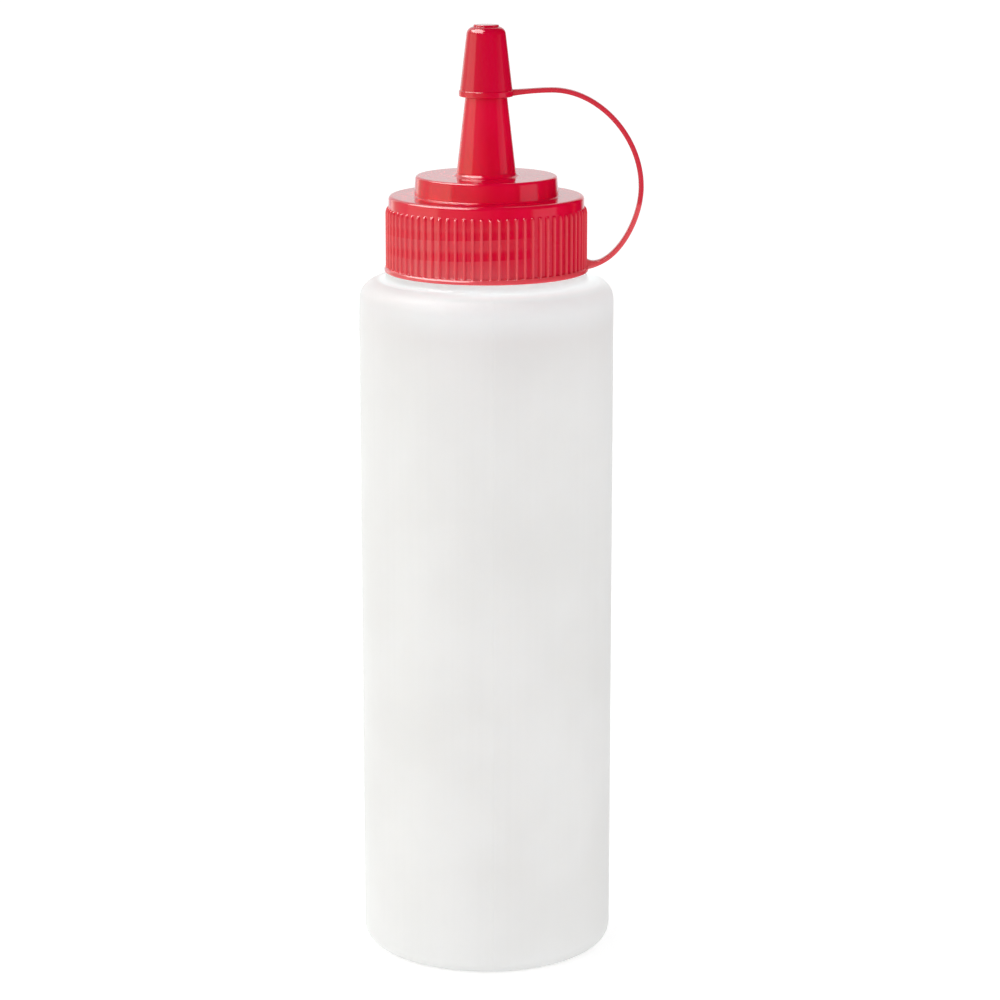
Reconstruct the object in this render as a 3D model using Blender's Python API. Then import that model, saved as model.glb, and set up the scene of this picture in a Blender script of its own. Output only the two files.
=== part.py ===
# Condiment squeeze bottle: a round bottle of soft, milky plastic, closed by a red spout cap.
# The cap, its spout, the strap and the small tip cap are one moulding, as on the real thing.
# Lengths are in metres, +Z is up, and the origin is the centre of the bottle's flat base.

import math

import bmesh
import bpy
from mathutils import Vector

MM = 0.001
GAP = 0.3 * MM                    # free space between faces that touch on the real thing

# Bottle
BODY_RADIUS = 25.4 * MM
BASE_ROUND = 3.0 * MM
SHOULDER_ROUND = 4.0 * MM
SHOULDER_HEIGHT = 137.5 * MM      # top of the shoulder's round, where the flat ring begins
SHOULDER_SLOPE = 0.05             # rise of the flat ring for each unit inwards
COLLAR_RADIUS = 20.0 * MM         # low step that fills the space under the cap's rim
COLLAR_TOP = 138.9 * MM
COLLAR_ROUND = 0.3 * MM
COLLAR_FILLET = 0.8 * MM
NECK_RADIUS = 17.6 * MM
NECK_TOP = 152.2 * MM
NECK_ROUND = 0.5 * MM

# Screw cap
CAP_BOTTOM = 139.2 * MM
RIM_RADIUS = 20.3 * MM
RIM_HEIGHT = 1.0 * MM
RIM_ROUND = 0.2 * MM
MOUTH_CHAMFER = 0.4 * MM
SKIRT_RADIUS = 19.4 * MM          # plain wall, and the valleys between the ribs
RIB_COUNT = 72
RIB_HEIGHT = 0.6 * MM
RIB_TOP = 151.9 * MM
RIB_RUN_OUT = 0.7 * MM            # length over which a rib's top end rounds down
DECK_HEIGHT = 154.2 * MM
DECK_ROUND = 0.7 * MM
TIER_HEIGHT = 158.1 * MM
TIER_FOOT_RADIUS = 14.3 * MM
TIER_TOP_RADIUS = 14.0 * MM
TIER_ROUND = 0.5 * MM
FOOT_FILLET = 0.3 * MM

# Spout
SPOUT_FOOT_RADIUS = 5.94 * MM     # of the cone, carried down to the tier's top
SPOUT_TAPER = 0.116               # loss of radius for each unit of height
SPOUT_TOP = 183.5 * MM
SPOUT_FILLET = 0.6 * MM
SPOUT_ROUND = 0.5 * MM

# Tip cap
TIP_BOTTOM = 173.65 * MM
TIP_BAND_RADIUS = 5.4 * MM
TIP_BAND_HEIGHT = 1.2 * MM
TIP_BAND_ROUND = 0.2 * MM
TIP_CONE_RADIUS = 5.2 * MM        # at the top of the band
TIP_TAPER = 0.12
TIP_HEIGHT = 187.2 * MM
TIP_ROUND = 1.1 * MM
DISC_RADIUS = 2.5 * MM
DISC_HEIGHT = 0.5 * MM
DISC_ROUND = 0.15 * MM

# Strap, in the plane Y = 0
STRAP_THICKNESS = 1.05 * MM
STRAP_WIDTH = 2.4 * MM
STRAP_CORNER = 0.3 * MM
ROOT_FLARE = 0.9 * MM             # extra half thickness at its end inside the cap's wall
TIP_FLARE = 0.15 * MM             # the same inside the tip cap's wall
FLARE_LENGTH = 4.5 * MM
STRAP_STEPS = 13                  # stretches of each of the curve's three parts

# The strap's middle line, as knots (x, z) in millimetres with their handles
STRAP_START = ((4.9, 174.35), (7.4, 174.6))
STRAP_CREST = ((10.3, 174.9), (13.0, 174.9), (22.2, 174.9))
STRAP_SIDE = ((30.6, 165.6), (30.6, 155.8), (30.6, 148.1))
STRAP_END = ((24.5, 138.7), (18.9, 140.65))

# Facets round the axis
ROUND_COLUMNS = 72
TIP_COLUMNS = 36
RIB_PROFILE = (0.0, 0.72, 1.0, 0.72)   # share of a rib's height across one pitch
RIB_END_STEPS = 2
SMOOTH_ANGLE = math.radians(28)


def clear_scene():
    for item in list(bpy.data.objects):
        bpy.data.objects.remove(item, do_unlink=True)


def plastic(name, colour, roughness):
    """A Principled material of one colour for a moulded plastic piece."""
    material = bpy.data.materials.new(name)
    material.use_nodes = True
    shader = material.node_tree.nodes["Principled BSDF"]
    shader.inputs["Base Color"].default_value = (*colour, 1.0)
    shader.inputs["Roughness"].default_value = roughness
    shader.inputs["Metallic"].default_value = 0.0
    return material


def arc(centre_radius, centre_height, radius, start, end, steps):
    """Points (radius, height) along an arc of the profile, angles in degrees."""
    points = []
    for step in range(steps + 1):
        angle = math.radians(start + (end - start) * step / steps)
        points.append((centre_radius + radius * math.cos(angle),
                       centre_height + radius * math.sin(angle)))
    return points


def ring(radius, height, columns):
    """Points round the axis, counter-clockwise seen from above."""
    points = []
    for column in range(columns):
        angle = 2 * math.pi * column / columns
        points.append(Vector((radius * math.cos(angle), radius * math.sin(angle), height)))
    return points


def ribbed_ring(height, share):
    """A ring that follows the ribs at the given share of their full height."""
    columns = RIB_COUNT * len(RIB_PROFILE)
    points = []
    for column in range(columns):
        angle = 2 * math.pi * column / columns
        rise = RIB_HEIGHT * share * RIB_PROFILE[column % len(RIB_PROFILE)]
        radius = SKIRT_RADIUS + rise
        points.append(Vector((radius * math.cos(angle), radius * math.sin(angle), height)))
    return points


def skin(name, rings):
    """A closed body through rings of points, whose first and last ring are filled.

    The rings run so that the body's outside is on the right of their path. Neighbours have
    the same count of points, or one has a whole multiple of the other's.
    """
    model = bmesh.new()
    loops = [[model.verts.new(point) for point in points] for points in rings]
    for lower, upper in zip(loops, loops[1:]):
        columns = min(len(lower), len(upper))
        low_step = len(lower) // columns
        high_step = len(upper) // columns
        for column in range(columns):
            corners = [lower[(column * low_step + i) % len(lower)]
                       for i in range(low_step + 1)]
            corners += [upper[(column * high_step + i) % len(upper)]
                        for i in range(high_step, -1, -1)]
            model.faces.new(corners)
    many_sided = [face for face in model.faces if len(face.verts) > 4]
    bmesh.ops.triangulate(model, faces=many_sided, ngon_method="EAR_CLIP")
    model.faces.new(list(reversed(loops[0])))
    model.faces.new(loops[-1])
    mesh = bpy.data.meshes.new(name)
    model.to_mesh(mesh)
    model.free()
    body = bpy.data.objects.new(name, mesh)
    bpy.context.scene.collection.objects.link(body)
    return body


def turned(profile, columns):
    """Rings for a list of (radius, height) points."""
    return [ring(radius, height, columns) for radius, height in profile]


def finish_mesh(body, material):
    """Give a body its material, and smooth shading that keeps its sharp edges."""
    body.data.materials.clear()
    body.data.materials.append(material)
    body.data.shade_smooth()
    body.data.set_sharp_from_angle(angle=SMOOTH_ANGLE)


def make_bottle():
    """The bottle as one solid: body, shoulder, collar, and the neck inside the cap."""
    profile = arc(BODY_RADIUS - BASE_ROUND, BASE_ROUND, BASE_ROUND, -90, 0, 5)
    shoulder_inner = BODY_RADIUS - SHOULDER_ROUND
    profile += arc(shoulder_inner, SHOULDER_HEIGHT - SHOULDER_ROUND, SHOULDER_ROUND, 0, 90, 6)
    foot_radius = COLLAR_RADIUS + COLLAR_FILLET
    foot_height = SHOULDER_HEIGHT + (shoulder_inner - foot_radius) * SHOULDER_SLOPE
    profile += arc(foot_radius, foot_height + COLLAR_FILLET, COLLAR_FILLET, 270, 180, 2)
    profile += arc(COLLAR_RADIUS - COLLAR_ROUND, COLLAR_TOP - COLLAR_ROUND, COLLAR_ROUND, 0, 90, 2)
    profile.append((NECK_RADIUS, COLLAR_TOP))
    profile += arc(NECK_RADIUS - NECK_ROUND, NECK_TOP - NECK_ROUND, NECK_ROUND, 0, 90, 2)
    return skin("bottle", turned(profile, ROUND_COLUMNS))


def spout_radius(height):
    """Outer radius of the spout's cone at a height."""
    return SPOUT_FOOT_RADIUS - (height - TIER_HEIGHT) * SPOUT_TAPER


def make_screw_cap():
    """Socket, rim, ribbed skirt, deck, tier and spout, as one turned body."""
    socket_radius = NECK_RADIUS + GAP
    inside = [
        (socket_radius, NECK_TOP + GAP),
        (socket_radius, CAP_BOTTOM + MOUTH_CHAMFER),
        (socket_radius + MOUTH_CHAMFER, CAP_BOTTOM),
    ]
    rim_top = CAP_BOTTOM + RIM_HEIGHT
    rim = arc(RIM_RADIUS - RIM_ROUND, CAP_BOTTOM + RIM_ROUND, RIM_ROUND, -90, 0, 2)
    rim += arc(RIM_RADIUS - RIM_ROUND, rim_top - RIM_ROUND, RIM_ROUND, 0, 90, 2)
    rings = turned(inside + rim, ROUND_COLUMNS)

    rings.append(ribbed_ring(rim_top, 1.0))
    for step in range(RIB_END_STEPS + 1):
        angle = math.pi / 2 * step / RIB_END_STEPS
        height = RIB_TOP - RIB_RUN_OUT * (1 - math.sin(angle))
        rings.append(ribbed_ring(height, math.cos(angle)))

    upper = arc(SKIRT_RADIUS - DECK_ROUND, DECK_HEIGHT - DECK_ROUND, DECK_ROUND, 0, 90, 3)
    upper += arc(TIER_FOOT_RADIUS + FOOT_FILLET, DECK_HEIGHT + FOOT_FILLET, FOOT_FILLET,
                 270, 180, 2)
    upper += arc(TIER_TOP_RADIUS - TIER_ROUND, TIER_HEIGHT - TIER_ROUND, TIER_ROUND, 0, 90, 3)
    foot = TIER_HEIGHT + SPOUT_FILLET
    upper += arc(spout_radius(foot) + SPOUT_FILLET, foot, SPOUT_FILLET, 270, 180, 3)
    tip = SPOUT_TOP - SPOUT_ROUND
    upper += arc(spout_radius(tip) - SPOUT_ROUND, tip, SPOUT_ROUND, 0, 90, 2)
    rings += turned(upper, ROUND_COLUMNS)
    return skin("spout_cap", rings)


def make_tip_cap():
    """The small cap on the spout: a socket open below, a band, a cone and a raised disc."""
    ceiling = SPOUT_TOP + GAP
    band_top = TIP_BOTTOM + TIP_BAND_HEIGHT
    profile = [
        (spout_radius(ceiling) + GAP, ceiling),
        (spout_radius(TIP_BOTTOM) + GAP, TIP_BOTTOM),
    ]
    band = TIP_BAND_RADIUS - TIP_BAND_ROUND
    profile += arc(band, TIP_BOTTOM + TIP_BAND_ROUND, TIP_BAND_ROUND, -90, 0, 2)
    profile += arc(band, band_top - TIP_BAND_ROUND, TIP_BAND_ROUND, 0, 45, 1)
    profile.append((TIP_CONE_RADIUS, band_top))
    round_start = TIP_HEIGHT - TIP_ROUND
    cone_end = TIP_CONE_RADIUS - (round_start - band_top) * TIP_TAPER
    profile += arc(cone_end - TIP_ROUND, round_start, TIP_ROUND, 0, 90, 4)
    disc_top = TIP_HEIGHT + DISC_HEIGHT
    profile.append((DISC_RADIUS, TIP_HEIGHT))
    profile += arc(DISC_RADIUS - DISC_ROUND, disc_top - DISC_ROUND, DISC_ROUND, 0, 90, 2)
    return skin("tip_cap", turned(profile, TIP_COLUMNS))


def curve_point(knots, share):
    """Point of a cubic curve with four knots at a share of its course."""
    rest = 1 - share
    weights = (rest ** 3, 3 * rest ** 2 * share, 3 * rest * share ** 2, share ** 3)
    return Vector((sum(w * k[0] for w, k in zip(weights, knots)) * MM, 0,
                   sum(w * k[1] for w, k in zip(weights, knots)) * MM))


def strap_route():
    """Points along the middle of the strap, from the tip cap to the rim."""
    parts = (
        (*STRAP_START, *STRAP_CREST[:2]),
        (*STRAP_CREST[1:], *STRAP_SIDE[:2]),
        (*STRAP_SIDE[1:], *STRAP_END),
    )
    points = [curve_point(parts[0], 0)]
    for knots in parts:
        for step in range(1, STRAP_STEPS + 1):
            points.append(curve_point(knots, step / STRAP_STEPS))
    return points


def make_strap():
    """A flat band carried along its route, thicker at both roots."""
    wide = STRAP_WIDTH / 2
    corner = STRAP_CORNER
    route = strap_route()
    lengths = [0.0]
    for before, after in zip(route, route[1:]):
        lengths.append(lengths[-1] + (after - before).length)
    rings = []
    for index, point in enumerate(route):
        before = route[max(index - 1, 0)]
        after = route[min(index + 1, len(route) - 1)]
        along = (after - before).normalized()
        across = Vector((along.z, 0, -along.x))
        to_root = max(0.0, 1 - (lengths[-1] - lengths[index]) / FLARE_LENGTH)
        to_tip = max(0.0, 1 - lengths[index] / FLARE_LENGTH)
        flare = ROOT_FLARE * to_root ** 2 + TIP_FLARE * to_tip ** 2
        thick = STRAP_THICKNESS / 2 + flare
        outline = (
            (thick, wide - corner), (thick - corner, wide),
            (corner - thick, wide), (-thick, wide - corner),
            (-thick, corner - wide), (corner - thick, -wide),
            (thick - corner, -wide), (thick, corner - wide),
        )
        rings.append([point + across * out + Vector((0, side, 0)) for out, side in outline])
    return skin("strap", rings)


def unite(body, others):
    """Fuse other bodies into one body, and remove them."""
    group = bpy.data.collections.new("joined")
    for other in others:
        group.objects.link(other)
    union = body.modifiers.new("union", "BOOLEAN")
    union.operation = "UNION"
    union.operand_type = "COLLECTION"
    union.collection = group
    union.solver = "EXACT"
    with bpy.context.temp_override(object=body, active_object=body):
        bpy.ops.object.modifier_apply(modifier=union.name)
    for other in others:
        bpy.data.objects.remove(other, do_unlink=True)
    bpy.data.collections.remove(group)


def build():
    clear_scene()
    milky = plastic("milky_plastic", (0.82, 0.81, 0.79), 0.42)
    red = plastic("red_plastic", (0.72, 0.012, 0.036), 0.24)
    bottle = make_bottle()
    finish_mesh(bottle, milky)
    cap = make_screw_cap()
    unite(cap, [make_tip_cap(), make_strap()])
    finish_mesh(cap, red)


build()
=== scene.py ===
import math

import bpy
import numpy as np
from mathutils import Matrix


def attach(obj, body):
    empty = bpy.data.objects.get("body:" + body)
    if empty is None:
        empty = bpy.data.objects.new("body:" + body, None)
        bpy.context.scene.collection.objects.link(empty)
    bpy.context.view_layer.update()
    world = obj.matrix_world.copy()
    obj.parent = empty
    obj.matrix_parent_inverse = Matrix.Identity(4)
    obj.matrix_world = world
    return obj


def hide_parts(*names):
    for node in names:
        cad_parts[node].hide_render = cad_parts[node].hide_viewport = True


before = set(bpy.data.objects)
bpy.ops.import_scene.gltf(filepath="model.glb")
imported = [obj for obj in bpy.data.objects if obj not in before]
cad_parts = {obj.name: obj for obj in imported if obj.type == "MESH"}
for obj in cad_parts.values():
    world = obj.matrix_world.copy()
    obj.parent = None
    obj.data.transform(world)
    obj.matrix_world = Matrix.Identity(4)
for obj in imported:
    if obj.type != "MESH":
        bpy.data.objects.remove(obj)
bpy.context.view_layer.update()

# Condiment squeeze bottle: a soft milky bottle under a red spout cap whose tip cap hangs on a strap.
# Every shape is a numpy surface: a profile turned round Z, or a section carried along a path.
# Lengths in the dictionaries are millimetres, angles are degrees, and azimuth 0 is +X.

mm = 0.001
bodyName = "root"


def unit(vector):
    return vector / np.linalg.norm(vector)


# Profile of a turned shape as rows of (radius, height). A corner (radius, height, fillet) turns into
# an arc that touches both of its sides: each point is the arc's first and last radius, weighted by
# the sines of what is left and what is done of the turn. A straight stretch gets a row `guard` from
# each end, so that the shading stays flat between fillets, and more rows at most `longest` apart.
# Rows closer than `nearest` become one.
def roundedProfile(corners, longest, arcSteps, guard, nearest=1e-4):
    corners = [tuple(corner) + (0.0,) * (3 - len(corner)) for corner in corners]
    runs = []
    for index, (radius, height, fillet) in enumerate(corners):
        here = np.array((radius, height))
        if fillet == 0 or index in (0, len(corners) - 1):
            runs.append(here[None, :])
            continue
        toBefore = unit(np.array(corners[index - 1][:2]) - here)
        toAfter = unit(np.array(corners[index + 1][:2]) - here)
        half = math.acos(np.clip(toBefore @ toAfter, -1, 1)) / 2
        centre = here + unit(toBefore + toAfter) * fillet / math.sin(half)
        start = here + toBefore * fillet / math.tan(half) - centre
        end = here + toAfter * fillet / math.tan(half) - centre
        turn = math.pi - 2 * half
        share = np.linspace(0, 1, arcSteps + 1)[:, None]
        runs.append(centre + (np.sin((1 - share) * turn) * start + np.sin(share * turn) * end)
                    / math.sin(turn))
    rows = [runs[0]]
    for run in runs[1:]:
        start, end = rows[-1][-1], run[0]
        length = np.linalg.norm(end - start)
        if length > 4 * guard:
            count = max(1, math.ceil((length - 2 * guard) / longest))
            share = np.linspace(guard / length, 1 - guard / length, count + 1)[:, None]
            rows.append(start + (end - start) * share)
        rows.append(run)
    profile = np.concatenate(rows)
    steps = np.linalg.norm(np.diff(profile, axis=0), axis=1)
    return profile[np.concatenate(([True], steps > nearest))]


# Columns for the ribs: in each pitch, most of them lie on the rib itself.
def ribAngles(count, width, onRib, between):
    ribShare = np.linspace(-width / 2, width / 2, onRib)
    flatShare = np.linspace(width / 2, 1 - width / 2, between + 2)[1:-1]
    pitch = np.concatenate((ribShare, flatShare)) + 0.5
    return ((np.arange(count)[:, None] + pitch[None, :]) * 2 * math.pi / count).ravel()


# Even columns round the axis, with finer ones `spread` degrees to each side of chosen azimuths.
def columnAngles(count, fineAt=(), spread=2.5, fineCount=21):
    angles = [np.arange(count) * 360.0 / count]
    angles += [azimuth + np.linspace(-spread, spread, fineCount) for azimuth in fineAt]
    angles = np.unique(np.round(np.concatenate(angles) % 360.0, 4))
    return np.radians(angles)


# Mesh of a grid of points, row by row. Columns close into rings, and each end of the grid closes with
# a fan round one more point, in the middle of its last ring.
def gridMesh(name, points, material):
    rows, columns = points.shape[:2]
    body = points.reshape(-1, 3)
    poles = np.array([points[0].mean(axis=0), points[-1].mean(axis=0)])
    index = np.arange(rows * columns).reshape(rows, columns)
    after = np.roll(index, -1, axis=1)
    firstPole, lastPole = rows * columns, rows * columns + 1
    quads = np.stack((index[:-1], after[:-1], after[1:], index[1:]), axis=-1).reshape(-1, 4)
    fans = np.concatenate((
        np.stack((after[0], index[0], np.full(columns, firstPole)), axis=-1),
        np.stack((index[-1], after[-1], np.full(columns, lastPole)), axis=-1)))
    mesh = bpy.data.meshes.new(name)
    mesh.from_pydata(np.concatenate((body, poles)) * mm, [], quads.tolist() + fans.tolist())
    mesh.polygons.foreach_set("use_smooth", np.ones(len(mesh.polygons), dtype=bool))
    mesh.validate()
    piece = bpy.data.objects.new(name, mesh)
    bpy.context.scene.collection.objects.link(piece)
    mesh.materials.append(material)
    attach(piece, bodyName)
    return piece


# A profile turned round Z: x = r cos(a), y = r sin(a), where r is the profile's radius plus `rise`,
# a function of azimuth, height, radius and row, and the height gets `lift` in the same way. Rows on
# the axis are left out, because the closing fans take their place.
def turnedPiece(name, profile, angles, material, rise=None, lift=None):
    inner = profile[profile[:, 0] > 1e-6]
    radius, height = inner[:, :1], inner[:, 1:]
    azimuth = angles[None, :]
    row = np.arange(len(inner))[:, None]
    outward = radius + (rise(azimuth, height, radius, row) if rise else 0.0)
    upward = height + (lift(azimuth, height, radius, row) if lift else 0.0)
    grid = np.broadcast_arrays(outward * np.cos(azimuth), outward * np.sin(azimuth),
                               upward + 0 * azimuth)
    return gridMesh(name, np.stack(grid, axis=-1), material)


# Smooth 0 to 1 step between two edges: the share squared, times three less twice the share.
def smoothStep(low, high, value):
    share = np.clip((value - low) / (high - low), 0, 1)
    return share * share * (3 - 2 * share)


def newMaterial(name):
    material = bpy.data.materials.new(name)
    material.use_nodes = True
    return material, material.node_tree, material.node_tree.nodes["Principled BSDF"]


# A node with its settings and its inputs; an input that is a socket is linked, a value is set.
def addNode(tree, kind, settings=None, inputs=None):
    node = tree.nodes.new(kind)
    for key, value in (settings or {}).items():
        setattr(node, key, value)
    for key, value in (inputs or {}).items():
        if isinstance(value, bpy.types.NodeSocket):
            tree.links.new(value, node.inputs[key])
        else:
            node.inputs[key].default_value = value
    return node


def maths(tree, operation, *values):
    inputs = dict(enumerate(values))
    return addNode(tree, "ShaderNodeMath", {"operation": operation}, inputs).outputs[0]


# Inputs 6 and 7 and output 2 are the Mix node's colours.
def mixColour(tree, share, first, second):
    node = addNode(tree, "ShaderNodeMix", {"data_type": "RGBA"}, {0: share, 6: first, 7: second})
    return node.outputs[2]


def mapRange(tree, value, fromLow, fromHigh, toLow=0.0, toHigh=1.0, smooth=True):
    node = addNode(tree, "ShaderNodeMapRange",
                   {"interpolation_type": "SMOOTHSTEP" if smooth else "LINEAR"},
                   {0: value, 1: fromLow, 2: fromHigh, 3: toLow, 4: toHigh})
    return node.outputs[0]


def noise(tree, place, scale, detail, roughness=0.5):
    return addNode(tree, "ShaderNodeTexNoise", None, {
        "Vector": place, "Scale": scale, "Detail": detail, "Roughness": roughness})


# Object coordinates in millimetres
def placeInMillimetres(tree):
    coordinates = addNode(tree, "ShaderNodeTexCoord")
    return addNode(tree, "ShaderNodeVectorMath", {"operation": "SCALE"},
                   {0: coordinates.outputs["Object"], "Scale": 1 / mm}).outputs[0]


def stretchedPlace(tree, place, scale):
    return addNode(tree, "ShaderNodeMapping", None, {"Vector": place, "Scale": scale}).outputs[0]


def distanceFromAxis(tree, place):
    flat = addNode(tree, "ShaderNodeVectorMath", {"operation": "MULTIPLY"}, {0: place, 1: (1, 1, 0)})
    return addNode(tree, "ShaderNodeVectorMath", {"operation": "LENGTH"}, {0: flat.outputs[0]}).outputs[1]


def newGroup(name, inputs, outputs):
    group = bpy.data.node_groups.new(name, "ShaderNodeTree")
    for direction, sockets in (("INPUT", inputs), ("OUTPUT", outputs)):
        for label, kind in sockets:
            group.interface.new_socket(name=label, in_out=direction, socket_type=kind)
    return group, group.nodes.new("NodeGroupInput"), group.nodes.new("NodeGroupOutput")


# The marks are the edges of large bent cells, and show only where the clouding is high.
skinPattern = {
    "cloudDetail": 3.0, "cloudRoughness": 0.45, "grainDetail": 2.0,
    "bendScale": 0.09, "bendDetail": 2.0, "bendLength": 9.0,
    "cellScale": 0.16, "markWidth": 0.006, "markedCloud": (0.5, 0.62),
}


# Surface of a moulding: slow clouding, fine grain, and sparse hairline marks from handling.
def makeMouldedSkin():
    p = skinPattern
    group, given, result = newGroup(
        "mouldedSkin",
        [("Place", "NodeSocketVector"), ("Cloud size", "NodeSocketFloat"),
         ("Grain size", "NodeSocketFloat"), ("Mark amount", "NodeSocketFloat")],
        [("Cloud", "NodeSocketFloat"), ("Marks", "NodeSocketFloat"), ("Height", "NodeSocketFloat")])
    place = given.outputs["Place"]
    cloud = noise(group, place, maths(group, "DIVIDE", 1.0, given.outputs["Cloud size"]),
                  p["cloudDetail"], p["cloudRoughness"]).outputs[0]
    grain = noise(group, place, maths(group, "DIVIDE", 1.0, given.outputs["Grain size"]),
                  p["grainDetail"]).outputs[0]
    bend = noise(group, place, p["bendScale"], p["bendDetail"]).outputs[1]
    bentPlace = addNode(group, "ShaderNodeVectorMath", {"operation": "MULTIPLY_ADD"}, {
        0: bend, 1: (p["bendLength"],) * 3, 2: place}).outputs[0]
    toEdge = addNode(group, "ShaderNodeTexVoronoi", {"feature": "DISTANCE_TO_EDGE"}, {
        "Vector": bentPlace, "Scale": p["cellScale"]}).outputs["Distance"]
    thin = mapRange(group, toEdge, 0.0, p["markWidth"], 1.0, 0.0)
    broken = mapRange(group, cloud, *p["markedCloud"])
    marks = maths(group, "MULTIPLY", maths(group, "MULTIPLY", thin, broken), given.outputs["Mark amount"])
    height = maths(group, "SUBTRACT", grain, marks)
    for label, socket in (("Cloud", cloud), ("Marks", marks), ("Height", height)):
        group.links.new(socket, result.inputs[label])
    return group


mouldedSkin = makeMouldedSkin()
print("surface group ready")


def useSkin(tree, place, values):
    return addNode(tree, "ShaderNodeGroup", {"node_tree": mouldedSkin}, {
        "Place": place, "Cloud size": values["cloudSize"], "Grain size": values["grainSize"],
        "Mark amount": values["markAmount"]}).outputs


# Gloss, relief and inner light of a moulding, from its dictionary. The clouding moves the roughness
# up and down round its middle value, and the marks raise it.
def finishMoulding(tree, shader, skin, relief, values):
    clouded = maths(tree, "MULTIPLY_ADD", skin["Cloud"], values["roughByCloud"],
                    values["roughness"] - values["roughByCloud"] / 2)
    rough = maths(tree, "MULTIPLY_ADD", skin["Marks"], values["roughByMarks"], clouded)
    tree.links.new(rough, shader.inputs["Roughness"])
    bump = addNode(tree, "ShaderNodeBump", None, {
        "Strength": values["bumpStrength"], "Distance": values["bumpDepth"] * mm, "Height": relief})
    tree.links.new(bump.outputs[0], shader.inputs["Normal"])
    shader.inputs["IOR"].default_value = values["refraction"]
    shader.inputs["Specular IOR Level"].default_value = values["specular"]
    shader.inputs["Subsurface Weight"].default_value = values["scatter"]
    shader.inputs["Subsurface Radius"].default_value = values["scatterTint"]
    shader.inputs["Subsurface Scale"].default_value = values["scatterLength"] * mm


# A row of four numbers is a mask: (from, to, share at from, share at to).
bottle = {
    "radius": 25.34, "baseRound": 3.0, "shoulderRound": 4.0, "shoulderHeight": 137.5,
    "shoulderSlope": 0.05, "collarRadius": 20.0, "collarTop": 139.1, "collarFillet": 0.8,
    "collarEdge": 0.2, "neckFillet": 0.3, "neckRadius": 17.6, "neckTop": 152.2, "neckEdge": 0.5,
    "dishDepth": 0.8, "dishRadius": 18.5, "dishSlope": 3.0, "dishFillet": 2.5, "dishEdge": 1.5,
    "columns": 288, "rows": {"longest": 2.2, "arcSteps": 9, "guard": 0.3},
    # Low waves of the wall: their height, then each one's share, lobes round the bottle, height that
    # it climbs in a radian, and start, and the heights between which they come in and go out
    "wave": 0.03, "waves": ((1.0, 3, 31.0, 0.6), (0.6, 5, -19.0, 0.0), (0.5, 2, 14.0, 0.0)),
    "waveFoot": (4.0, 14.0), "waveTop": (136.0, 124.0),
    "partingAzimuth": -86.6, "partingWidth": 0.22, "partingHeight": 0.05, "partingFoot": 0.5,
    "partingRunOut": 0.6, "pinchHeight": 0.3, "pinchWidth": 0.45, "pinchLength": 15.0,
    "pinchRunOut": 2.0,
    "colour": (0.745, 0.743, 0.740), "deepColour": (0.713, 0.710, 0.705), "toneRange": (0.35, 0.65),
    "cloudSize": 26.0, "grainSize": 0.35, "markAmount": 0.35,
    "drawStretch": (0.9, 0.9, 0.012), "drawDetail": 3.0, "drawShare": 0.12, "drawRelief": 0.4,
    # Painted light beside the cap: a paler, cooler colour on the shoulder, weaker towards -X, and a glow
    # on the shoulder and collar stand in for light coming up through the hollow bottle; the coolness
    # takes out the cap's red bounce
    "paintedShoulderColour": (0.88, 0.95, 0.955), "paintedShoulderFrom": 128.0, "paintedShoulderByX": (-24.0, -8.0, 0.3, 1.0),
    "paintedGlowStrength": 0.295, "paintedGlowTint": (0.72, 1.0, 1.0), "litHeight": 133.5,
    "litRadii": (25.1, 21.0), "litByX": (-22.0, 1.0, 0.0, 1.0), "collarLit": (22.2, 20.6, 0.0, 0.75),
    "roughness": 0.51, "roughByCloud": 0.10, "roughByMarks": 0.12, "specular": 0.29,
    "refraction": 1.51, "bumpStrength": 0.25, "bumpDepth": 0.03,
    # The light spreads right through the bottle, which stands in for its hollow, see-through wall
    "scatter": 1.0, "scatterTint": (1.0, 0.97, 0.93), "scatterLength": 50.0,
}


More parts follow.
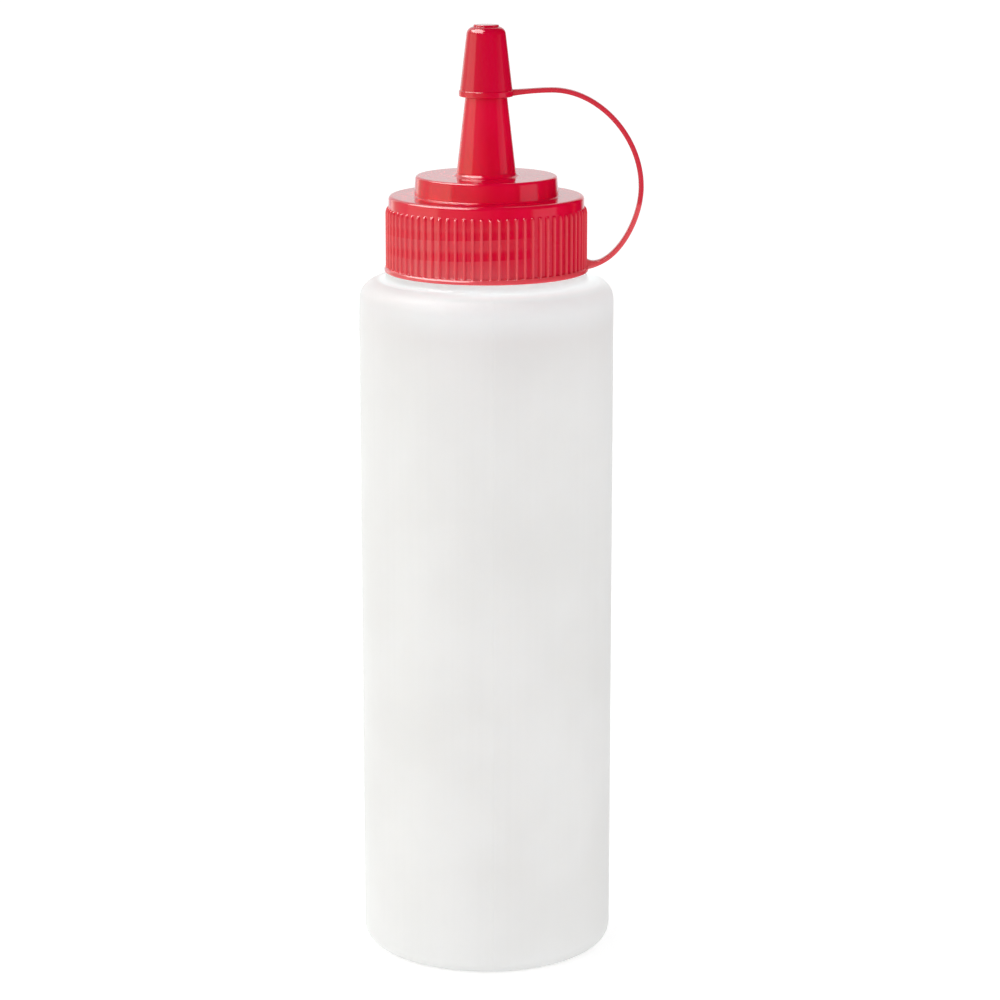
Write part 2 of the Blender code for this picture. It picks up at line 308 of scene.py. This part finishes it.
def bottleMaterial():
    b = bottle
    material, tree, shader = newMaterial("milkyPlastic")
    place = placeInMillimetres(tree)
    skin = useSkin(tree, place, b)
    # Faint lines along the tube that the bottle was blown from
    drawLines = noise(tree, stretchedPlace(tree, place, b["drawStretch"]), 1.0,
                      b["drawDetail"]).outputs[0]
    tone = maths(tree, "ADD", maths(tree, "MULTIPLY", skin["Cloud"], 1 - b["drawShare"]),
                 maths(tree, "MULTIPLY", drawLines, b["drawShare"]))
    colour = mixColour(tree, mapRange(tree, tone, *b["toneRange"]), (*b["colour"], 1),
                       (*b["deepColour"], 1))
    across, _, height = addNode(tree, "ShaderNodeSeparateXYZ", None, {0: place}).outputs
    # Painted light: the shoulder near the cap is paler and cooler, more so towards +X, the side the light
    # reaches less
    paintedShoulderLight = maths(tree, "MULTIPLY", mapRange(tree, height, b["paintedShoulderFrom"], b["shoulderHeight"]),
                    mapRange(tree, across, *b["paintedShoulderByX"]))
    colour = mixColour(tree, paintedShoulderLight, colour, (*b["paintedShoulderColour"], 1))
    tree.links.new(colour, shader.inputs["Base Color"])
    # Painted light: the shoulder beside the cap glows, less towards -X, and the collar glows all round,
    # fading below litHeight; the glow stands in for light through the hollow bottle and is tinted cool
    # against the cap's red bounce
    fromAxis = distanceFromAxis(tree, place)
    paintedGlowMask = maths(tree, "MULTIPLY", mapRange(tree, fromAxis, *b["litRadii"]),
                      mapRange(tree, across, *b["litByX"]))
    paintedGlowMask = maths(tree, "MAXIMUM", paintedGlowMask, mapRange(tree, fromAxis, *b["collarLit"]))
    paintedGlowMask = maths(tree, "MULTIPLY", paintedGlowMask,
                      mapRange(tree, height, b["litHeight"], b["shoulderHeight"]))
    glow = mixColour(tree, paintedGlowMask, (0, 0, 0, 1), (*b["paintedGlowTint"], 1))
    tree.links.new(glow, shader.inputs["Emission Color"])
    shader.inputs["Emission Strength"].default_value = b["paintedGlowStrength"]
    relief = maths(tree, "ADD", skin["Height"], maths(tree, "MULTIPLY", drawLines, b["drawRelief"]))
    finishMoulding(tree, shader, skin, relief, b)
    return material


def makeBottle():
    b = bottle
    inner = b["radius"] - b["shoulderRound"]
    collarFoot = b["shoulderHeight"] + (inner - b["collarRadius"]) * b["shoulderSlope"]
    corners = [
        (0, b["dishDepth"]),
        (b["dishRadius"] - b["dishSlope"], b["dishDepth"], b["dishFillet"]),
        (b["dishRadius"], 0, b["dishEdge"]),
        (b["radius"], 0, b["baseRound"]), (b["radius"], b["shoulderHeight"], b["shoulderRound"]),
        (b["collarRadius"], collarFoot, b["collarFillet"]),
        (b["collarRadius"], b["collarTop"], b["collarEdge"]),
        (b["neckRadius"], b["collarTop"], b["neckFillet"]),
        (b["neckRadius"], b["neckTop"], b["neckEdge"]), (0, b["neckTop"]),
    ]
    seams = (b["partingAzimuth"], b["partingAzimuth"] + 180)

    # Distance from the parting plane: the radius times the sine of the angle to it
    def fromParting(azimuth, radius):
        return radius * np.abs(np.sin(azimuth - math.radians(b["partingAzimuth"])))

    # A blow-moulded wall isn't quite round: low sine waves that climb as they go round it, and the
    # parting line, a bell curve of the distance from the parting plane
    def rise(azimuth, height, radius, row):
        onWall = smoothStep(*b["waveFoot"], height) * smoothStep(*b["waveTop"], height)
        waves = sum(share * np.sin(lobes * azimuth + height / climb + start)
                    for share, lobes, climb, start in b["waves"])
        waves = waves / sum(wave[0] for wave in b["waves"])
        ridge = b["partingHeight"] * np.exp(-(fromParting(azimuth, radius) / b["partingWidth"]) ** 2)
        outside = smoothStep(b["collarRadius"], b["collarRadius"] + b["partingRunOut"], radius)
        return b["wave"] * waves * onWall + ridge * outside * (height > b["partingFoot"])

    # The base's pinch-off: a low bead along the parting plane, inside the dished middle
    def lift(azimuth, height, radius, row):
        inDish = height < b["dishDepth"] + 0.01
        underneath = inDish * smoothStep(b["pinchLength"], b["pinchLength"] - b["pinchRunOut"], radius)
        bead = np.exp(-(fromParting(azimuth, radius) / b["pinchWidth"]) ** 2)
        return -b["pinchHeight"] * bead * underneath

    piece = turnedPiece("bottleSkin", roundedProfile(corners, **b["rows"]),
                        columnAngles(b["columns"], seams), bottleMaterial(), rise, lift)
    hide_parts("bottle")


makeBottle()
print("bottle made")


screwCap = {
    "bottom": 139.2, "socketRadius": 17.9, "socketTop": 152.5, "socketFillet": 0.6,
    "mouthEdge": 0.3, "rimRadius": 20.3, "rimHeight": 1.0, "rimRound": 0.68, "rimFoot": 0.25,
    "skirtRadius": 19.4, "skirtFillet": 0.15, "skirtDraft": 0.03,
    "ribCount": 72, "ribHeight": 0.6, "ribWidth": 0.41, "ribTop": 151.9, "ribRunOut": 1.25,
    "ribRows": 8, "ribPower": 0.7, "ribSunk": 0.98, "columnsOnRib": 9, "columnsBetween": 4,
    "deckHeight": 154.2, "deckRound": 0.7, "tierHeight": 158.1, "tierFillet": 0.25,
    "tierFootRadius": 14.3, "tierTopRadius": 14.0, "tierRound": 0.5,
    "spoutFootRadius": 5.94, "spoutTopRadius": 2.99, "spoutTop": 183.5, "spoutFillet": 0.8,
    "spoutEdge": 0.5, "threadPitch": 4.0, "threadHeight": 147.7,
    "rows": {"longest": 12.0, "arcSteps": 6, "guard": 0.12},
}
# A row of four numbers is a mask: (from, to, share at from, share at to).
redPlastic = {
    "colour": (0.742, 0.001, 0.039), "deepColour": (0.70, 0.001, 0.031), "toneRange": (0.35, 0.7),
    "flowStretch": (1.0, 1.0, 0.25), "flowScale": 0.35, "flowDetail": 2.0,
    "cloudSize": 7.0, "grainSize": 0.2, "markAmount": 0.5,
    # Painted shade: the tip cap and the strap are darker copies of the red; the strap also takes a paler
    # tone, partly duller plastic and partly a painted sheen
    "tipPaintedShade": 0.88, "strapPaintedShade": 0.78, "strapHazeAndSheen": 0.35,
    # A paler tone on the ribs and the rim, partly rubbed plastic and partly a painted highlight on the
    # crests: from a height over the skirt to a share of a rib's height, gone by so far above the ribs
    "crestRubAndHighlight": (0.78, 0.092, 0.110), "crestShare": 0.72, "crestFrom": 0.08, "crestTo": 0.9,
    "crestFade": 1.0,
    # Where the white neck shows through the skirt, by height, and then by X, which is painted light: more
    # at -X and fading out towards +X, as the light falls from -X
    "neckGlow": (0.75, 0.100, 0.125),
    "lowGlow": (139.2, 144.5, 0.52, 0.0), "highGlow": (147.5, 151.9, 0.42, 0.0),
    "paintedFadeToRight": (-2.0, 13.0, 1.0, 0.0), "paintedLeftLight": (-18.5, -7.0, 0.42, 0.0),
    # The thread that hides it: its two edges and its start in shares of a turn, its lowest height,
    # and by X
    "threadEdges": ((0.0, 0.05, 0.0, 1.0), (0.32, 0.62, 1.0, 0.0)), "threadTurn": 0.25,
    "threadStart": (142.6, 143.8), "threadByX": (-16.0, -5.0, 0.55, 1.0),
    "roughness": 0.11, "roughByCloud": 0.06, "roughByMarks": 0.2, "specular": 0.5,
    "refraction": 1.49, "bumpStrength": 0.2, "bumpDepth": 0.02,
    "scatter": 0.15, "scatterTint": (1.0, 0.15, 0.1), "scatterLength": 1.5,
}


# How much of the white neck shows through the skirt: most near the rim. More of it at -X below the
# ribs' tops and less towards +X is painted light, as the light falls from -X. The thread makes the
# wall thicker and hides it: height over pitch, less the share of a turn, runs from 0 to 1 between one
# thread and the next.
def neckThroughSkirt(tree, axes):
    s, red = screwCap, redPlastic
    turn = maths(tree, "DIVIDE", maths(tree, "ARCTAN2", axes[1], axes[0]), 2 * math.pi)
    climb = maths(tree, "DIVIDE", maths(tree, "SUBTRACT", axes[2], s["threadHeight"]),
                  s["threadPitch"])
    phase = maths(tree, "FRACT", maths(tree, "SUBTRACT", climb,
                                       maths(tree, "ADD", turn, red["threadTurn"])))
    thread = maths(tree, "MULTIPLY", mapRange(tree, phase, *red["threadEdges"][0]),
                   mapRange(tree, phase, *red["threadEdges"][1]))
    thread = maths(tree, "MULTIPLY", thread, mapRange(tree, axes[2], *red["threadStart"]))
    byHeight = maths(tree, "ADD", mapRange(tree, axes[2], *red["lowGlow"]),
                     mapRange(tree, axes[2], *red["highGlow"]))
    belowTop = mapRange(tree, axes[2], s["ribTop"] - s["ribRunOut"], s["ribTop"], 1.0, 0.0)
    # Painted light: more see-through at -X below the ribs' tops, and fading out towards +X
    paintedLeftGlow = maths(tree, "MULTIPLY", mapRange(tree, axes[0], *red["paintedLeftLight"]), belowTop)
    seenThroughAndLit = maths(tree, "MULTIPLY_ADD", byHeight, mapRange(tree, axes[0], *red["paintedFadeToRight"]),
                     paintedLeftGlow)
    hidden = maths(tree, "MULTIPLY", thread, mapRange(tree, axes[0], *red["threadByX"]))
    return maths(tree, "MULTIPLY", seenThroughAndLit, maths(tree, "SUBTRACT", 1.0, hidden))


# The first number scales the red down for the tip cap and the strap: painted shade, darker copies of one
# red for parts that get less light. The second mixes in the paler crest tone, partly the strap's duller
# face and partly a painted sheen
def redMaterial(name, shadeFactor, hazeAndSheen):
    material, tree, shader = newMaterial(name)
    s, red = screwCap, redPlastic
    place = placeInMillimetres(tree)
    axes = addNode(tree, "ShaderNodeSeparateXYZ", None, {0: place}).outputs
    skin = useSkin(tree, place, red)
    glow = neckThroughSkirt(tree, axes)
    # The ribs' and the rim's paler tone: partly rubbed plastic, partly a painted highlight
    onRib = mapRange(tree, distanceFromAxis(tree, place), s["skirtRadius"] + red["crestFrom"],
                     s["skirtRadius"] + red["crestTo"] * s["ribHeight"])
    besideRibs = mapRange(tree, axes[2], s["ribTop"], s["ribTop"] + red["crestFade"], 1.0, 0.0)
    crestRubAndHighlight = maths(tree, "MULTIPLY_ADD", maths(tree, "MULTIPLY", red["crestShare"], onRib),
                  besideRibs, hazeAndSheen)
    flow = noise(tree, stretchedPlace(tree, place, red["flowStretch"]), red["flowScale"],
                 red["flowDetail"]).outputs[0]
    lighter, deeper = (tuple(part * shadeFactor for part in red[key]) + (1,)
                       for key in ("colour", "deepColour"))
    colour = mixColour(tree, mapRange(tree, flow, *red["toneRange"]), lighter, deeper)
    colour = mixColour(tree, glow, colour, (*red["neckGlow"], 1))
    colour = mixColour(tree, crestRubAndHighlight, colour, (*red["crestRubAndHighlight"], 1))
    tree.links.new(colour, shader.inputs["Base Color"])
    finishMoulding(tree, shader, skin, skin["Height"], red)
    return material


# Painted shade: the tip cap's and the strap's reds are darker copies of the cap's red
capRed = redMaterial("capRed", 1.0, 0.0)
tipRed = redMaterial("tipRed", redPlastic["tipPaintedShade"], 0.0)
strapRed = redMaterial("strapRed", redPlastic["strapPaintedShade"], redPlastic["strapHazeAndSheen"])


def makeScrewCap():
    s = screwCap
    rimTop = s["bottom"] + s["rimHeight"]
    # Rows where the ribs run out, closer together towards their tops, as a sine of even steps
    runOut = s["ribTop"] - s["ribRunOut"] * (1 - np.sin(np.linspace(0, math.pi / 2, s["ribRows"])))
    corners = [
        (0, s["socketTop"]), (s["socketRadius"], s["socketTop"], s["socketFillet"]),
        (s["socketRadius"], s["bottom"], s["mouthEdge"]),
        (s["rimRadius"], s["bottom"], s["rimFoot"]), (s["rimRadius"], rimTop, s["rimRound"]),
        (s["skirtRadius"], rimTop, s["skirtFillet"]),
        *[(s["skirtRadius"], height) for height in runOut],
        (s["skirtRadius"] - s["skirtDraft"], s["deckHeight"], s["deckRound"]),
        (s["tierFootRadius"], s["deckHeight"], s["tierFillet"]),
        (s["tierTopRadius"], s["tierHeight"], s["tierRound"]),
        (s["spoutFootRadius"], s["tierHeight"], s["spoutFillet"]),
        (s["spoutTopRadius"], s["spoutTop"], s["spoutEdge"]), (0, s["spoutTop"]),
    ]
    profile = roundedProfile(corners, **s["rows"])
    rimRow = int(np.argmax(profile[:, 0]))

    # Ribs: a parabola to the power `ribPower` across each, rounded down at the top. At the foot each
    # goes straight down into the rim, so its rise shrinks by nearly as much as the rim's radius grows.
    def rise(azimuth, height, radius, row):
        across = (azimuth * s["ribCount"] / (2 * math.pi)) % 1 - 0.5
        arch = np.clip(1 - (across / (s["ribWidth"] / 2)) ** 2, 0, 1) ** s["ribPower"]
        end = np.clip((height - s["ribTop"] + s["ribRunOut"]) / s["ribRunOut"], 0, 1)
        rib = s["ribHeight"] * arch * np.sqrt(1 - end ** 2)
        swallowed = s["ribSunk"] * np.maximum(radius - s["skirtRadius"], 0)
        return np.maximum(rib - swallowed, 0) * (row >= rimRow)

    angles = ribAngles(s["ribCount"], s["ribWidth"], s["columnsOnRib"], s["columnsBetween"])
    piece = turnedPiece("screwCap", profile, angles, capRed, rise)
    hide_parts("spout_cap")


makeScrewCap()
print("screw cap made")


tipCap = {
    "bottom": 173.65, "bandRadius": 5.4, "bandHeight": 1.2, "bandFoot": 0.25, "bandEdge": 0.16,
    "coneRadius": 5.2, "coneFillet": 0.03, "taper": 0.12, "top": 187.25, "topRound": 1.55,
    "discRadius": 2.5, "discHeight": 0.38, "discFillet": 0.1, "discEdge": 0.15,
    "socketTop": 183.8, "socketTopRadius": 3.3, "socketFootRadius": 4.44, "socketFillet": 0.3,
    "mouthEdge": 0.15, "columns": 120, "rows": {"longest": 1.6, "arcSteps": 7, "guard": 0.08},
}


def makeTipCap():
    t = tipCap
    bandTop = t["bottom"] + t["bandHeight"]
    topRadius = t["coneRadius"] - (t["top"] - bandTop) * t["taper"]
    discTop = t["top"] + t["discHeight"]
    corners = [
        (0, t["socketTop"]), (t["socketTopRadius"], t["socketTop"], t["socketFillet"]),
        (t["socketFootRadius"], t["bottom"], t["mouthEdge"]),
        (t["bandRadius"], t["bottom"], t["bandFoot"]), (t["bandRadius"], bandTop, t["bandEdge"]),
        (t["coneRadius"], bandTop, t["coneFillet"]), (topRadius, t["top"], t["topRound"]),
        (t["discRadius"], t["top"], t["discFillet"]), (t["discRadius"], discTop, t["discEdge"]),
        (0, discTop),
    ]
    piece = turnedPiece("tipCap", roundedProfile(corners, **t["rows"]), columnAngles(t["columns"]),
                        tipRed)
    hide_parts("spout_cap")


makeTipCap()
print("tip cap made")


strap = {
    "thickness": 1.05, "width": 2.4, "squareness": 3.5,
    "rootFlare": 0.9, "tipFlare": 0.15, "flareLength": 4.5,
    "curves": (  # ends and handles of the middle line's curves as (x, z), from the tip cap to the rim
        ((4.9, 174.35), (7.4, 174.6), (10.3, 174.9), (13.0, 174.9)),
        ((13.0, 174.9), (22.2, 174.9), (30.6, 165.6), (30.6, 155.8)),
        ((30.6, 155.8), (30.6, 148.1), (24.5, 138.7), (18.9, 140.65))),
    "stepsPerCurve": 40, "around": 28,
}


# The middle line is cubic Bezier curves in the plane y = 0. The section is a superellipse, where
# |u|^n + |v|^n = 1 and n is the squareness, and its half thickness grows with the square of the
# closeness to either root.
def makeStrap():
    s = strap
    share = np.linspace(0, 1, s["stepsPerCurve"], endpoint=False)[:, None]
    weights = np.concatenate(((1 - share) ** 3, 3 * (1 - share) ** 2 * share,
                              3 * (1 - share) * share ** 2, share ** 3), axis=1)
    line = np.concatenate([weights @ np.array(curve) for curve in s["curves"]]
                          + [np.array(s["curves"][-1][-1])[None, :]])
    along = np.gradient(line, axis=0)
    along /= np.linalg.norm(along, axis=1, keepdims=True)
    outward = np.stack((along[:, 1], -along[:, 0]), axis=1)
    gone = np.concatenate(([0], np.cumsum(np.linalg.norm(np.diff(line, axis=0), axis=1))))
    toRoot = np.clip(1 - (gone[-1] - gone) / s["flareLength"], 0, 1)
    toTip = np.clip(1 - gone / s["flareLength"], 0, 1)
    thick = s["thickness"] / 2 + s["rootFlare"] * toRoot ** 2 + s["tipFlare"] * toTip ** 2
    angle = np.arange(s["around"]) * 2 * math.pi / s["around"]
    power = 2 / s["squareness"]
    across = np.sign(np.cos(angle)) * np.abs(np.cos(angle)) ** power
    side = np.sign(np.sin(angle)) * np.abs(np.sin(angle)) ** power
    offset = thick[:, None] * across[None, :]
    points = np.stack((line[:, :1] + outward[:, :1] * offset,
                       np.broadcast_to(side * s["width"] / 2, offset.shape),
                       line[:, 1:] + outward[:, 1:] * offset), axis=-1)
    piece = gridMesh("strap", points, strapRed)
    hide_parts("spout_cap")


makeStrap()
print("strap made")


studio = {
    # The floor is a light table, its size in metres
    "floorSize": 8.0, "floorColour": (0.93, 0.93, 0.93), "floorVariation": 0.01,
    "floorSpeckle": 0.02, "floorRoughness": 0.9, "floorGlow": 0.34,
    "ambientHorizon": 1.22, "ambientZenith": 0.58, "leftBias": 0.16,
    # What the gloss sees: azimuth from, to; elevation from, to; softness across, upwards; light.
    # Here azimuth 0 is towards the camera and 90 is to the right.
    "panels": {
        "leftSoftbox": (-104, -58, -70, 40, 6, 10, (1.20, 1.30, 0.92)),
        "leftSoftboxTop": (-125, -24, 30, 76, 10, 8, (12.0, 12.0, 11.5)),
        "leftWall": (-150, -104, -70, 60, 6, 10, (0.75, 0.75, 0.58)),
        "frontLeft": (-85, -15, -70, 6.5, 66, 8, (0.72, 0.72, 0.50)),
        "rightCard": (56, 90, -70, 4.5, 3, 6, (0.62, 0.80, 0.80)),
        "rearWall": (154, 220, -70, 60, 16, 20, (0.93, 1.05, 1.05)),
    },
}


def makeFloor():
    half = studio["floorSize"] / 2
    mesh = bpy.data.meshes.new("floor")
    mesh.from_pydata([(-half, -half, 0), (half, -half, 0), (half, half, 0), (-half, half, 0)], [],
                     [(0, 1, 2, 3)])
    floor = bpy.data.objects.new("floor", mesh)
    bpy.context.scene.collection.objects.link(floor)
    material, tree, shader = newMaterial("paleFloor")
    speckle = noise(tree, placeInMillimetres(tree), studio["floorSpeckle"], 2.0).outputs[0]
    paler = tuple(min(1.0, part + studio["floorVariation"]) for part in studio["floorColour"])
    colour = mixColour(tree, speckle, (*studio["floorColour"], 1), (*paler, 1))
    tree.links.new(colour, shader.inputs["Base Color"])
    shader.inputs["Roughness"].default_value = studio["floorRoughness"]
    shader.inputs["Specular IOR Level"].default_value = 0.0
    shader.inputs["Emission Color"].default_value = (1.0, 1.0, 1.0, 1.0)
    shader.inputs["Emission Strength"].default_value = studio["floorGlow"]
    mesh.materials.append(material)
    floor.visible_glossy = False  # the panels below the horizon light the gloss instead


# The camera sees plain white. Diffuse light comes from a soft room that is brighter near the horizon
# and on the left, and the gloss sees dark surroundings with the panels in them.
def makeStudio():
    world = bpy.data.worlds.new("studio")
    bpy.context.scene.world = world
    world.use_nodes = True
    world.cycles.sampling_method = "NONE"
    tree = world.node_tree
    tree.nodes.clear()
    direction = addNode(tree, "ShaderNodeTexCoord").outputs["Generated"]
    axes = addNode(tree, "ShaderNodeSeparateXYZ", None, {0: direction}).outputs
    facing = maths(tree, "MULTIPLY", axes[1], -1.0)
    azimuth = maths(tree, "ARCTAN2", axes[0], facing)
    elevation = maths(tree, "ARCSINE", axes[2])

    gloss = (0.0, 0.0, 0.0)
    for *angles, panelLight in studio["panels"].values():
        low, high, lowest, highest, softAcross, softUp = (math.radians(angle) for angle in angles)
        middle, half = (low + high) / 2, (high - low) / 2
        turned = maths(tree, "WRAP", maths(tree, "SUBTRACT", azimuth, middle), math.pi, -math.pi)
        inside = mapRange(tree, maths(tree, "ABSOLUTE", turned), half - softAcross / 2,
                          half + softAcross / 2, 1.0, 0.0)
        above = mapRange(tree, elevation, lowest - softUp / 2, lowest + softUp / 2)
        below = mapRange(tree, elevation, highest - softUp / 2, highest + softUp / 2, 1.0, 0.0)
        lit = maths(tree, "MULTIPLY", inside, maths(tree, "MULTIPLY", above, below))
        gloss = addNode(tree, "ShaderNodeVectorMath", {"operation": "MULTIPLY_ADD"}, {
            0: lit, 1: panelLight, 2: gloss}).outputs[0]

    height = mapRange(tree, axes[2], 0.0, 1.0, studio["ambientHorizon"], studio["ambientZenith"],
                      smooth=False)
    sideways = maths(tree, "MULTIPLY_ADD", axes[0], -studio["leftBias"], 1.0)
    ambient = maths(tree, "MULTIPLY", height, sideways)
    rays = addNode(tree, "ShaderNodeLightPath").outputs
    light = mixColour(tree, rays["Is Glossy Ray"], ambient, gloss)
    light = mixColour(tree, rays["Is Camera Ray"], light, (1.0, 1.0, 1.0, 1.0))
    background = addNode(tree, "ShaderNodeBackground", None, {"Color": light, "Strength": 1.0})
    output = addNode(tree, "ShaderNodeOutputWorld")
    tree.links.new(background.outputs[0], output.inputs[0])


# The focal length is in pixels of the photograph's frame, and the clip distances are metres.
camera = {
    "distance": 640.0, "pitch": 12.8, "aimHeight": 92.3, "aimSide": 2.7, "focalPixels": 3166.0,
    "framePixels": 1000.0, "sensorWidth": 36.0, "clipNear": 0.01, "clipFar": 20.0,
}


def makeCamera():
    c = camera
    data = bpy.data.cameras.new("camera")
    data.sensor_width = c["sensorWidth"]
    data.lens = c["focalPixels"] * c["sensorWidth"] / c["framePixels"]
    data.clip_start, data.clip_end = c["clipNear"], c["clipFar"]
    item = bpy.data.objects.new("camera", data)
    bpy.context.scene.collection.objects.link(item)
    pitch = math.radians(c["pitch"])
    item.location = (c["aimSide"] * mm, -c["distance"] * math.cos(pitch) * mm,
                     (c["aimHeight"] + c["distance"] * math.sin(pitch)) * mm)
    item.rotation_euler = (math.pi / 2 - pitch, 0, 0)
    bpy.context.scene.camera = item


makeFloor()
makeStudio()
makeCamera()
bpy.context.scene.view_settings.view_transform = "Standard"
print("studio ready")
